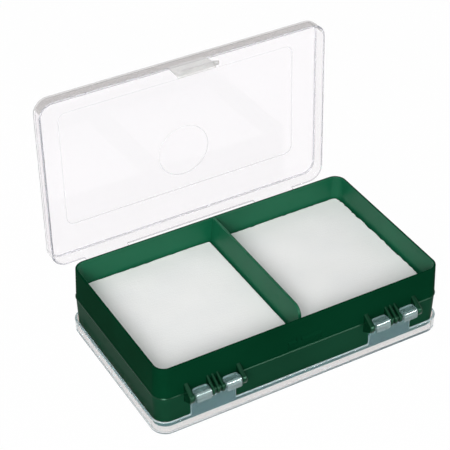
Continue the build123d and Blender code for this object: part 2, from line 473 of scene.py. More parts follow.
class Shading:
    """The node tree of one material, or of the world."""

    def __init__(self, holder: Material | bpy.types.World) -> None:
        """Start an empty tree in its holder."""
        self.holder = holder
        holder.use_nodes = True
        self.nodes = holder.node_tree.nodes
        self.links = holder.node_tree.links
        self.nodes.clear()

    def node(self, kind: str, settings: dict[str, Any] | None = None,
             sockets: dict[str | int, Any] | None = None, output: str | int = 0) -> Value:
        """Add any node.

        Args:
            kind: the node's type.
            settings: properties of the node, set first.
            sockets: values or links of its inputs, by name or number.
            output: the output to return, by name or number.

        Returns:
            The output as a value.
        """
        node = self.nodes.new(kind)
        for key, value in (settings or {}).items():
            setattr(node, key, value)
        for key, value in (sockets or {}).items():
            if isinstance(value, Value):
                self.links.new(value.socket, node.inputs[key])
            else:
                node.inputs[key].default_value = value
        return Value(self, node.outputs[output])

    def place(self, stretch: Triple = (1.0, 1.0, 1.0)) -> Value:
        """Object coordinates in millimetres, stretched along each axis."""
        scale = tuple(factor / MILLIMETRE for factor in stretch)
        own = self.node("ShaderNodeTexCoord", output="Object")
        return self.node("ShaderNodeMapping", sockets={"Vector": own, "Scale": scale})

    def noise(self, size: float, detail: float = 2.0, roughness: float = 0.5,
              stretch: Triple = (1.0, 1.0, 1.0)) -> Value:
        """Noise from 0 to 1 whose features are about size millimetres across."""
        sockets = {"Vector": self.place(stretch), "Scale": 1 / size}
        sockets |= {"Detail": detail, "Roughness": roughness}
        return self.node("ShaderNodeTexNoise", sockets=sockets)

    def blend(self, share: Value, first: Triple, second: Triple) -> Value:
        """A colour that goes from the first to the second as the share rises from 0 to 1."""
        sockets = {0: share, 6: (*first, 1.0), 7: (*second, 1.0)}
        return self.node("ShaderNodeMix", {"data_type": "RGBA"}, sockets, 2)

    def bump(self, height: Value, depth: float, strength: float = 0.5,
             over: Value | None = None) -> Value:
        """Normal of a height from 0 to 1 over a depth, on top of another bump if given."""
        sockets = {"Height": height, "Distance": depth * MILLIMETRE, "Strength": strength}
        if over is not None:
            sockets["Normal"] = over
        return self.node("ShaderNodeBump", sockets=sockets)

    def principled(self, sockets: dict[str, Any]) -> Value:
        """A Principled shader with these inputs."""
        return self.node("ShaderNodeBsdfPrincipled", sockets=sockets)

    def mixed(self, share: Value, first: Value, second: Value) -> Value:
        """A shader that goes from the first to the second as the share rises from 0 to 1."""
        return self.node("ShaderNodeMixShader", sockets={0: share, 1: first, 2: second})

    def finish(self, surface: Value) -> Material | bpy.types.World:
        """Send a shader to the output and return what holds the tree."""
        kind = "World" if isinstance(self.holder, bpy.types.World) else "Material"
        output = self.nodes.new(f"ShaderNodeOutput{kind}")
        self.links.new(surface.socket, output.inputs["Surface"])
        return self.holder


@dataclass(frozen=True)
class GreenMoulding:
    """Dark green moulded polypropylene with a soft gloss and a faint flow pattern."""

    name: str
    deep: Triple
    light: Triple
    roughness: float
    specular: float
    sheen_tint: Triple

    def material(self) -> Material:
        """Build the material."""
        shade = Shading(bpy.data.materials.new(self.name))
        flow = shade.noise(size=38.0, detail=3.0, stretch=(0.5, 1.0, 1.0))
        rub = shade.noise(size=9.0, detail=4.0, roughness=0.65).ramp(0.56, 0.72)
        ripple = shade.bump(shade.noise(size=14.0, detail=1.0), depth=0.05)
        return shade.finish(shade.principled({
            "Base Color": shade.blend(flow.ramp(0.3, 0.7), self.deep, self.light),
            "Roughness": self.roughness + 0.05 * flow + 0.08 * rub,
            "Specular IOR Level": self.specular,
            "Specular Tint": (*self.sheen_tint, 1.0),
            "Normal": shade.bump(shade.noise(size=0.35), depth=0.006, strength=0.6, over=ripple),
        }))


# Four copies of one green moulding. The first is its own colour. The inside copy is lighter,
# painted light; the copy below the ridge is lighter and greyer, painted light; the hinge copy is
# darker, painted shade.
GREENS = (
    GreenMoulding("green_outside", (0.0011, 0.027, 0.0105), (0.0017, 0.034, 0.0140),
                  roughness=0.26, specular=0.001, sheen_tint=(0.30, 1.0, 0.62)),
    GreenMoulding("green_inside_painted_light", (0.0030, 0.087, 0.039), (0.0044, 0.105, 0.048),
                  roughness=0.40, specular=0.25, sheen_tint=(0.85, 1.0, 0.95)),
    GreenMoulding("green_below_painted_light", (0.0050, 0.039, 0.0190), (0.0065, 0.048, 0.0240),
                  roughness=0.26, specular=0.006, sheen_tint=(0.60, 1.0, 0.80)),
    GreenMoulding("green_hinge_painted_shade", (0.0008, 0.019, 0.0076), (0.0013, 0.025, 0.0100),
                  roughness=0.20, specular=0.32, sheen_tint=(0.45, 1.0, 0.70)),
)


@dataclass(frozen=True)
class ClearMoulding:
    """Clear, faintly milky polypropylene: what passes through is warmed, and its haze is cool.

    The haze is denser where the wall is seen edge on, as it is in the real moulding.
    """

    name: str
    passed: Triple
    haze: Triple
    milkiness: float
    edge_milkiness: float = 0.3
    roughness: float = 0.06
    index: float = 1.2
    gloss: float = 0.3
    gloss_index: float = 1.5
    ripple: float = 0.004
    ripple_size: float = 4.0

    def material(self) -> Material:
        """Build the material."""
        shade = Shading(bpy.data.materials.new(self.name))
        cloud = shade.noise(size=26.0)
        edge_on = shade.node("ShaderNodeLayerWeight", sockets={"Blend": 0.5}, output="Facing")
        scratch = shade.noise(size=0.8, detail=5.0, roughness=0.7, stretch=(0.06, 1.0, 1.0))
        shared = {
            "Roughness": self.roughness + 0.06 * scratch.ramp(0.60, 0.72),
            "IOR": self.index,
            "Coat Weight": self.gloss,
            "Coat Roughness": self.roughness,
            "Coat IOR": self.gloss_index,
            "Normal": shade.bump(shade.noise(self.ripple_size, detail=1.0), depth=self.ripple),
        }
        clear = {"Base Color": (*self.passed, 1.0), "Transmission Weight": 1.0, **shared}
        milk = {"Base Color": (*self.haze, 1.0), **shared}
        share = self.milkiness * (0.9 + 0.2 * cloud) + self.edge_milkiness * edge_on**5
        return shade.finish(shade.mixed(share, shade.principled(clear), shade.principled(milk)))


# The skirt and edge finishes have a copy for each lid. The skirt copies are painted light: the
# lower lid's bluish haze is painted reflection, and the open lid's darkened pass is painted shade.
# The edge copies are painted reflection: pale and grey lines along the edges.
CLEARS = (
    ClearMoulding("clear_panel", (0.99, 0.968, 0.982), (0.75, 0.85, 0.95), 0.02,
                  edge_milkiness=0.1, roughness=0.04, gloss=0.12),
    ClearMoulding("clear_side", (0.965, 0.945, 0.955), (0.75, 0.78, 0.82), 0.04,
                  edge_milkiness=0.15, index=1.1, ripple=0.001),
    ClearMoulding("milky_clip", (0.62, 0.74, 0.74), (0.32, 0.50, 0.50), 0.19, roughness=0.13,
                  index=1.12, gloss=1.0, gloss_index=1.9, ripple=0.22, ripple_size=3.6),
    ClearMoulding("latch_tab", (0.95, 0.94, 0.93), (0.70, 0.70, 0.69), 0.27, roughness=0.16),
    ClearMoulding("clear_skirt_below", (0.85, 0.75, 0.70), (0.32, 0.72, 0.87), 0.10),
    ClearMoulding("worked_edge_below", (0.88, 0.85, 0.84), (0.52, 0.66, 0.67), 0.50,
                  roughness=0.22),
    ClearMoulding("clear_skirt_above", (0.62, 0.60, 0.585), (0.50, 0.51, 0.52), 0.13),
    ClearMoulding("worked_edge_above", (0.90, 0.88, 0.89), (0.55, 0.56, 0.62), 0.36,
                  roughness=0.22),
)


@dataclass(frozen=True)
class FoamSheet:
    """White closed-cell foam sheet: matt, with fine cells and a faint combed grain."""

    white: Triple = (0.865, 0.872, 0.862)
    shade: Triple = (0.845, 0.855, 0.850)
    cell_size: float = 0.9

    def material(self) -> Material:
        """Build the material."""
        shade = Shading(bpy.data.materials.new("foam_sheet"))
        patches = shade.noise(size=26.0, detail=3.0)
        sockets = {"Vector": shade.place(), "Scale": 1 / self.cell_size}
        cells = shade.node("ShaderNodeTexVoronoi", {"feature": "F1"}, sockets, "Distance")
        grain = shade.noise(size=1.1, detail=3.0, stretch=(0.22, 1.0, 1.0))
        skin = shade.bump(grain, depth=0.18, strength=0.6)
        return shade.finish(shade.principled({
            "Base Color": shade.blend(patches.ramp(0.35, 0.7), self.white, self.shade),
            "Roughness": 0.82 + 0.12 * patches,
            "Specular IOR Level": 0.25,
            "Normal": shade.bump(cells, depth=0.08, over=skin),
        }))


# Tray

class TrayFace(IntEnum):
    """Parts of the tray that take different copies of the green, as places in its list of finishes:
    painted light inside and below the ridge, painted shade on the hinges and the ridge.
    """

    ABOVE = 0
    INSIDE = 1
    BELOW = 2
    HINGE = 3


@dataclass(frozen=True)
class Hollow:
    """A square hollow sunk into the outer wall, its levels counted from the catch's own."""

    middle: float
    half_length: float
    below: float
    above: float
    depth: float


@dataclass
class Tray:
    """The green moulding: walls on a floor at mid height, dividers, hinge rods and catches."""

    ridge_proud: float = 0.4
    ridge_half: float = 0.5
    ridge_flat: float = 0.06
    ridge_slope: float = 30.0
    rim_radius: float = 0.4
    floor_radius: float = 0.5
    inside_share: float = 0.8
    divider_top: float = 1.7
    divider_base: float = 2.6
    divider_lean: float = 1.7
    divider_edge: float = 0.4
    divider_end_radius: float = 6.5
    notch_width: float = 5.4
    notch_depth: float = 9.0
    notch_radius: float = 2.0
    disc_radius: float = 2.95
    disc_thickness: float = 1.7
    disc_pitch: float = 2.9
    disc_edge: float = 0.8
    knuckle_middle: float = 15.5
    knuckle_thickness: float = 2.7
    knuckle_edge: float = 1.15
    rod_half: float = 15.0
    web_half_height: float = 6.5
    web_foot: float = 0.1
    web_root: float = 0.9
    catch_half_length: float = 10.5
    catch_proud: float = 0.75
    catch_height: float = 1.9
    catch_level: float = 5.4
    catch_edge: float = 0.15
    pocket: Hollow = Hollow(middle=0.0, half_length=10.5, below=3.7, above=0.0, depth=0.5)
    slot: Hollow = Hollow(middle=-4.0, half_length=1.8, below=2.4, above=3.4, depth=0.65)
    tool_overrun: float = 3.0
    tool_edge: float = 0.5

    def walls(self) -> Piece:
        """Walls, floor and parting ridge as one surface.

        A profile of distance outside the rim line and level runs from the upper floor over the rim,
        down the flared outer wall and its ridge, and back under the lower rim, and is carried round
        the rounded rectangle.
        """
        inner_floor = -BOX.wall - BOX.cavity_draft - self.floor_radius
        low, high = BOX.floor_half + self.floor_radius, BOX.rim_level - self.rim_radius
        floor_corner = arc((inner_floor, low), self.floor_radius, -90.0, 0.0, 4)
        inner_turn = arc((-BOX.wall + self.rim_radius, high), self.rim_radius, 180.0, 90.0, 4)
        outer_turn = arc((-self.rim_radius, high), self.rim_radius, 90.0, 0.0, 4)
        outer_turn[:, 0] += BOX.flare_at(outer_turn[:, 1])
        proud = BOX.wall_flare + self.ridge_proud
        ridge = np.array([
            [BOX.flare_at(self.ridge_half), self.ridge_half],
            [proud - self.ridge_half * np.tan(radians(self.ridge_slope)), self.ridge_half],
            [proud, self.ridge_flat],
        ])
        upper = np.vstack([floor_corner, inner_turn, outer_turn, ridge])
        profile = np.vstack([upper, upper[::-1] * np.array([1.0, -1.0])])
        even = np.linspace(0.0, 1.0, 9)[1:-1]
        columns = Columns.spaced(even, even, even, even)
        surface = Surface()
        surface.sweep([flat_ring(RIM.ring(columns, out), level) for out, level in profile])
        return surface.piece("tray_walls", Stance.UPPER)

    def catch(self, stance: Stance) -> Piece:
        """Ledge that the latch hooks under: a square lower side and a sloped top."""
        top = self.catch_level + self.catch_height
        face = BOX.half_width + BOX.flare_at(self.catch_level) + self.catch_proud
        root = BOX.half_width - BOX.wall / 2
        outline = np.array([
            [-face, self.catch_level],
            [-face, top - self.catch_height / 2],
            [-BOX.half_width - BOX.flare_at(top), top],
            [-root, top],
            [-root, self.catch_level],
        ])
        span = (-self.catch_half_length, self.catch_half_length)
        return bars("catch", stance, outline, [span], self.catch_edge, segments=2)

    def hollow(self, size: Hollow, stance: Stance) -> Piece:
        """Tool that sinks a hollow into the wall."""
        floor = BOX.half_width + BOX.flare_at(self.catch_level) - size.depth
        face = BOX.half_width + self.tool_overrun
        low, high = self.catch_level - size.below, self.catch_level + size.above
        outline = np.array([[-face, low], [-face, high], [-floor, high], [-floor, low]])
        span = (size.middle - size.half_length, size.middle + size.half_length)
        return bars("hollow", stance, outline, [span], self.tool_edge)

    def divider(self, name: str, stance: Stance) -> Piece:
        """Leaning divider with a rounded free end over a notch at the front.

        Its side view is a rectangle with a quarter circle at its upper front corner and a step down
        to the notch. The slab thins from base to top, and its middle leans right with the level.
        """
        back = BOX.half_width - BOX.wall / 2
        end = -(BOX.half_width - BOX.wall - self.notch_width)
        floor = BOX.rim_level - self.notch_depth
        radius, hollow = self.divider_end_radius, self.notch_radius
        turn = arc((end + radius, BOX.rim_level - radius), radius, 90.0, 180.0, 12)
        step = arc((end - hollow, floor + hollow), hollow, 0.0, -90.0, 6)
        slab = [[-back, 0.0], [back, 0.0], [back, BOX.rim_level]]
        outline = np.vstack([slab, turn, step, [[-back, floor]]])
        rise = outline[:, 1] / BOX.rim_level
        half = (self.divider_base + (self.divider_top - self.divider_base) * rise) / 2
        lean = self.divider_lean * rise
        return bars(name, stance, outline, [(lean - half, lean + half)], self.divider_edge,
                    segments=4)

    def web_outline(self) -> Array:
        """Side view of a hinge web: tangents from the wall to the disc, and the arc between."""
        foot = BOX.half_width + self.web_foot
        root, half = foot - self.web_root, self.web_half_height
        away = foot - BOX.hinge_y
        spread = pi / 2 - asin(self.disc_radius / sqrt(away**2 + half**2))
        turn = degrees(atan2(half, away) - spread)
        around = arc((BOX.hinge_y, 0.0), self.disc_radius, -turn, turn, 18)
        return np.vstack([around, [[foot, half], [root, half], [root, -half], [foot, -half]]])

    def hinge(self, name: str, side: int, stance: Stance) -> Piece:
        """Rod between two knuckles, with three discs that keep the lid's clips apart.

        Args:
            name: the piece's name.
            side: -1 for the left hinge and 1 for the right one.
            stance: the half that it belongs to.

        Returns:
            The hinge as one piece.
        """
        middle = BOX.hinge_middle(side)

        def spans(thickness: float, *offsets: float) -> list[Pair]:
            """Ends of plates of one thickness, at offsets from the hinge's middle."""
            half = thickness / 2
            return [(middle + offset - half, middle + offset + half) for offset in offsets]

        web = self.web_outline()
        discs = spans(self.disc_thickness, -self.disc_pitch, 0.0, self.disc_pitch)
        knuckles = spans(self.knuckle_thickness, -self.knuckle_middle, self.knuckle_middle)
        angle = CURVED_PIECE_ANGLE
        hinge = bars(name, stance, web, discs, self.disc_edge, segments=5, angle=angle)
        carved(hinge, bars(name + "_knuckles", stance, web, knuckles, self.knuckle_edge,
                           segments=6, angle=angle))
        circle = arc((BOX.hinge_y, 0.0), BOX.rod_radius, 0.0, 345.0, 23)
        return carved(hinge, bars(name + "_rod", stance, circle, spans(2 * self.rod_half, 0.0)))

    def part_finishes(self, piece: Piece) -> None:
        """Give each face its copy of the green, told by its middle: painted light inside and below,
        the plain green above, and painted shade on the ridge.
        """
        x, y, z = face_middles(piece).T / MILLIMETRE
        over = z - BOX.middle_height
        outside = np.where(over < 0, TrayFace.BELOW, TrayFace.ABOVE)
        # The ridge takes the hinge's darker copy: painted shade, with more gloss.
        outside[np.abs(over) <= self.ridge_half] = TrayFace.HINGE
        inside = RIM.outside(x, y) < -self.inside_share * BOX.wall
        paint(piece, np.where(inside, TrayFace.INSIDE, outside))

    def build(self, faces: list[Material]) -> None:
        """Make every piece of the tray and dress it.

        Args:
            faces: one copy of the green for each part, in the parts' order; all but the first are
                painted light or shade.
        """
        walls = self.walls()
        for stance in (Stance.UPPER, Stance.LOWER):
            carved(walls, self.catch(stance))
            for size in (self.pocket, self.slot):
                carved(walls, self.hollow(size, stance), Carve.TAKE_AWAY)
        bodies, hinges = [walls], []
        for half, stance in (("upper", Stance.UPPER), ("lower", Stance.LOWER)):
            bodies.append(self.divider(f"tray_divider_{half}", stance))
            for side, word in ((-1, "left"), (1, "right")):
                hinges.append(self.hinge(f"tray_hinge_{half}_{word}", side, stance))
        for piece in bodies:
            dress(piece, faces, "tray", "tray", "tray_body")
            self.part_finishes(piece)
        # The hinges take only the hinge's darker copy, painted shade.
        for piece in hinges:
            dress(piece, faces[TrayFace.HINGE:], "tray", "tray", "tray_body")


# Lids

class LidPart(IntEnum):
    """Parts of a lid that differ in finish, as places in its list of finishes: the skirt's is
    painted light and the edges' is painted reflection.
    """

    PANEL = 0
    SKIRT = 1
    SIDE = 2
    CLIP = 3
    EDGE = 4
    TAB = 5


@dataclass
class Lid:
    """A clear lid: panel and skirt, hinge plates with clips, latch tab and the panel's relief."""

    gap: float = 0.85
    thickness: float = 1.3
    skirt_level: float = 15.6
    skirt_depth: float = 9.0
    skirt_rings: Pair = (16.4, 19.0)
    panel: float = 1.4
    draft: float = 0.2
    outer_radius: float = 2.2
    inner_radius: float = 0.9
    lip_radius: float = 0.2
    skirt_slack: float = 0.4
    plate_level: float = 7.6
    plate_corner: float = 0.9
    plate_hollow: float = 1.0
    even_half: float = 74.0
    even_apart: float = 1.5
    frame_half: Pair = (74.1, 36.45)
    frame_corner: float = 5.0
    frame_centre: Pair = (-1.6, -3.4)
    relief: float = 0.2
    relief_slope: float = 0.35
    roundel_radius: float = 16.0
    roundel_back: float = 7.8
    clip_bore: float = 1.65
    clip_radius: float = 3.2
    clip_front: float = 1.6
    clip_heel: float = 2.4
    clip_root: float = 2.0
    clip_shoulder: float = 1.5
    clip_sink: float = 0.02
    tongue_reach: float = 2.9
    tongue_corner: float = 1.3
    mouth_half: float = 1.25
    tip_radius: float = 0.4
    clip_edge: float = 0.42
    clip_room: float = 1.5
    latch_half_width: float = 11.8
    latch_side: float = 4.0
    latch_gap: float = 1.75
    latch_thickness: float = 1.4
    latch_top: float = 17.5
    latch_root: Pair = (1.1, 2.0)
    latch_step: float = 0.2
    latch_edge: float = 0.3
    hook: float = 1.0
    hook_top: float = 5.2
    hook_height: float = 1.2
    hook_lead: float = 0.5
    bend_level: float = 8.9
    end_level: float = 0.4
    flare: float = 4.4
    lip_thickness: float = 2.6
    tab_bounds: Triple = (0.9, 0.1, 17.0)
    # Where the painted reflection lies along the edges: half the band on the outer radius in
    # degrees, the lip's outward start and its share, the relief's slopes, and the tongue's tip.
    painted_reflection_turn: float = 19.0
    painted_reflection_lip: Pair = (0.3, 0.15)
    painted_reflection_slope: float = 0.3
    painted_reflection_tip: float = 0.5

    def skirt_columns(self) -> Columns:
        """Columns along the rim that close up at the sides of the hinge plates."""
        inside = np.array([-1.0, -0.85, -0.62, -0.36, -0.15, -0.03, 0.03, 0.12, 0.3, 0.55, 0.9])
        edges = [BOX.hinge_middle(side) + hand * (BOX.clip_outer_end - inside)
                 for side in (-1, 1) for hand in (-1, 1)]
        even = np.linspace(-self.even_half, self.even_half, 19)
        apart = np.abs(even[:, None] - np.concatenate(edges)[None, :]).min(axis=1)
        back = np.concatenate([even[apart >= self.even_apart], *edges])
        end = np.linspace(0.0, 1.0, 10)[1:-1]
        return Columns.spaced(RIM.side_shares(even), end, RIM.side_shares(back, True), end)

    def lower_edge(self, places: Array, on_back: Array) -> Array:
        """Level of the skirt's lower edge over each column.

        The edge is level, and at the back it drops to each hinge plate through a hollow quarter
        circle and turns under the plate through a round one.

        Args:
            places: x of each column.
            on_back: whether the column is on the straight back side.

        Returns:
            The level for each column.
        """
        inside = BOX.clip_outer_end - np.abs(np.abs(places + BOX.hinge_shift) - BOX.hinge_x)
        hollow = np.clip(inside + self.plate_hollow, 0.0, self.plate_hollow)
        above = self.skirt_level - self.plate_hollow + np.sqrt(self.plate_hollow**2 - hollow**2)
        turned = np.clip(self.plate_corner - inside, 0.0, self.plate_corner)
        below = self.plate_level + self.plate_corner - np.sqrt(self.plate_corner**2 - turned**2)
        return np.where(on_back, np.where(inside > 0, below, above), self.skirt_level)

    def shell(self, name: str, stance: Stance) -> Piece:
        """Panel and skirt with the hinge plates, as one surface.

        Rings run from the roundel out over the framed field and the panel's inner face, round the
        inner edge, down the skirt's inner face, under its lower edge, whose level depends on the
        column, up its outer face and round the outer edge on to the panel.

        Args:
            name: the piece's name.
            stance: where the lid stands.

        Returns:
            The shell.
        """
        columns = self.skirt_columns()
        edge = self.lower_edge(RIM.ring(columns)[:, 0], columns.on_back)
        inner_face = BOX.middle_height - self.panel
        field_line = RoundedOutline(*self.frame_half, self.frame_corner, self.frame_centre)
        centre = np.array([0.0, self.roundel_back])
        toward = field_line.ring(columns) - centre
        toward /= np.linalg.norm(toward, axis=1)[:, None]
        slope, lip = self.relief_slope, self.lip_radius
        rows = [flat_ring(centre + (self.roundel_radius - shrink) * toward, level)
                for shrink, level in ((slope, inner_face + 2 * self.relief),
                                      (0.0, inner_face + self.relief))]
        rows += [flat_ring(field_line.ring(columns, -shrink), level)
                 for shrink, level in ((slope, inner_face + self.relief), (0.0, inner_face))]

        def face(level: Level, outer: bool) -> Level:
            """Offset of the skirt's inner or outer face, which leans in by the draft to its top."""
            height = self.skirt_depth if outer else self.skirt_depth - self.panel
            lean = self.draft * np.clip(level - self.skirt_level, 0, None) / height
            return self.gap + outer * self.thickness - lean

        start, end = inner_face - self.inner_radius, BOX.middle_height - self.outer_radius
        into = face(start, False) - self.inner_radius
        out_of = face(end, True) - self.outer_radius
        under = lip * arc((1.0, 1.0), 1.0, 180.0, 270.0, 3)
        up_again = lip * arc((-1.0, 1.0), 1.0, 270.0, 360.0, 3)
        profile = [
            *arc((into, start), self.inner_radius, 90.0, 0.0, 6),
            *((face(level, False), level) for level in self.skirt_rings[::-1]),
            *((face(edge, False) + out, edge + up) for out, up in under),
            *((face(edge, True) + out, edge + up) for out, up in up_again),
            *((face(level, True), level) for level in self.skirt_rings),
            *arc((out_of, end), self.outer_radius, 0.0, 90.0, 8),
        ]
        surface = Surface()
        surface.sweep(rows + [flat_ring(RIM.ring(columns, out), level) for out, level in profile])
        return surface.piece(name, stance)

    def clip_outline(self, reach: float) -> Array:
        """Section of a clip: from the plate round the squared hook to the tongue and the bore."""
        inner = self.gap + self.clip_sink + BOX.half_width - BOX.hinge_y
        outer = inner + self.thickness - 2 * self.clip_sink
        radius, root = self.clip_radius, self.plate_level + self.clip_root
        mouth = degrees(asin(self.mouth_half / self.clip_bore))
        bore = arc((0.0, 0.0), self.clip_bore, mouth - 180.0, 180.0 - mouth, 26)
        hook = rounded([
            (inner + self.clip_bore, self.mouth_half, 0.0),
            (inner, radius, 0.0),
            (inner, root, 0.0),
            (outer, root, 0.0),
            (outer, radius + self.clip_shoulder, 0.0),
            (0.0, radius, 0.0),
            (radius, self.clip_heel, self.tip_radius),
            (radius, -radius, self.clip_front),
            (-reach, -radius, self.tip_radius),
            (-reach, -self.mouth_half, self.tip_radius),
        ])
        return np.vstack([hook, bore]) + np.array([BOX.hinge_y, 0.0])

    def clips(self, name: str, stance: Stance) -> Piece:
        """The four clips, two on each hinge plate.

        Each is its section carried along x, and near both ends the tongue's reach falls off along a
        quarter circle, which rounds the tongue's corners in plan.
        """
        surface = Surface()
        corner = self.tongue_corner
        width = BOX.clip_outer_end - BOX.clip_inner_end - self.clip_sink
        near = corner * np.array([0.0, 0.04, 0.15, 0.33, 0.6, 1.0])
        along = np.concatenate([near, width - near[::-1]])
        depth = corner - np.clip(np.minimum(along, width - along), 0, corner)
        fall = corner - np.sqrt(corner**2 - depth**2)
        rows = [(x, self.clip_outline(self.tongue_reach - short)) for x, short in zip(along, fall)]
        for side in (-1, 1):
            for low in (-BOX.clip_inner_end - width, BOX.clip_inner_end):
                start = BOX.hinge_middle(side) + low
                surface.sweep([np.column_stack([np.full(len(row), start + x), row])
                               for x, row in rows])
        piece = surface.piece(name, stance)
        return bevelled(piece, self.clip_edge, segments=4, angle=CURVED_PIECE_ANGLE)

    def latch(self, name: str, stance: Stance) -> Piece:
        """Latch tab: down from the skirt, with a hook inside and a lip flared out for a finger."""
        rim = BOX.half_width
        inner = rim + self.latch_gap
        outer = inner + self.latch_thickness
        hook_bottom = self.hook_top - self.hook_height
        lip = outer + self.flare
        slope = self.flare / (self.bend_level - self.end_level)
        at_hook = outer + slope * (self.bend_level - hook_bottom) - self.lip_thickness
        outline = np.array([
            [-rim - self.latch_root[1], self.latch_top],
            [-outer, self.bend_level],
            [-lip, self.end_level],
            [-lip + self.lip_thickness, self.end_level],
            [-at_hook, hook_bottom],
            [-inner + self.hook - self.hook_lead, hook_bottom],
            [-inner + self.hook, hook_bottom + self.hook_lead],
            [-inner + self.hook, self.hook_top],
            [-inner, self.hook_top],
            [-inner, self.skirt_level - self.thickness],
            [-rim - self.latch_root[0], self.skirt_level - self.latch_step],
            [-rim - self.latch_root[0], self.latch_top],
        ])
        span = (-self.latch_half_width, self.latch_half_width)
        return bars(name, stance, outline, [span], self.latch_edge)

    def build(self, name: str, stance: Stance, body: str, finishes: list[Material]) -> None:
        """Make one lid as a single clear solid and dress it.

        Args:
            name: the lid's name.
            stance: where it stands.
            body: the body that it moves with.
            finishes: one for each part, in the parts' order.
        """
        lid = self.shell(name, stance)
        carved(lid, self.clips(name + "_clips", stance))
        carved(lid, self.latch(name + "_latch", stance))
        node = "top_lid" if stance is Stance.OPEN else "bottom_lid"
        dress(lid, finishes, body, "lid", node)
        self.part_finishes(lid, stance)

    def part_finishes(self, piece: Piece, stance: Stance) -> None:
        """Give each face the finish of its part, told by where its middle lies on the closed lid.

        The skirt is what lies outside the rim line, and its finish is painted light; on the open
        lid only its latch side keeps the skirt's finish. Painted reflection goes on the outer share
        of the lip under the lower edge, on the middle of the outer radius, where the direction from
        its centre is near 45 degrees, on the slopes of the relief, and on a tongue's tip.
        """
        x, y, z = stance.lay_back(face_middles(piece)).T
        outside, front = RIM.outside(x, y), y + BOX.half_width
        edge = self.lower_edge(x, (y > 0) & (np.abs(x) < RIM.reach[0]))
        in_skirt = outside > self.gap - self.skirt_slack
        part = np.where(in_skirt, LidPart.SKIRT, LidPart.PANEL)
        if stance is Stance.OPEN:
            part[in_skirt & (front > self.latch_side)] = LidPart.SIDE
        turn = np.array([self.gap + self.thickness - self.draft, BOX.middle_height])
        over, up = np.stack([outside, z]) - (turn - self.outer_radius)[:, None]
        lean = np.degrees(np.arctan2(up, over))
        part[(over > 0) & (up > 0) & (np.abs(lean - 45) < self.painted_reflection_turn)] = LidPart.EDGE
        out, share = self.painted_reflection_lip
        lip = (outside > self.gap + out) & (z < edge + share * self.lip_radius)
        part[in_skirt & lip] = LidPart.EDGE
        step = (z - BOX.middle_height + self.panel) / self.relief
        sloped = (step > 0) & (step < 2) & (np.abs(step % 1 - 0.5) < self.painted_reflection_slope)
        part[(outside < 0) & sloped] = LidPart.EDGE
        out, beside, top = self.tab_bounds
        beside += self.latch_half_width
        part[(front < -out) & (np.abs(x) < beside) & (z < top)] = LidPart.TAB
        on_clip = np.hypot(y - BOX.hinge_y, z) < self.clip_room * self.clip_radius
        part[on_clip] = LidPart.CLIP
        part[on_clip & (y < BOX.hinge_y - self.tongue_reach + self.painted_reflection_tip)] = LidPart.EDGE
        paint(piece, part)


# Foam

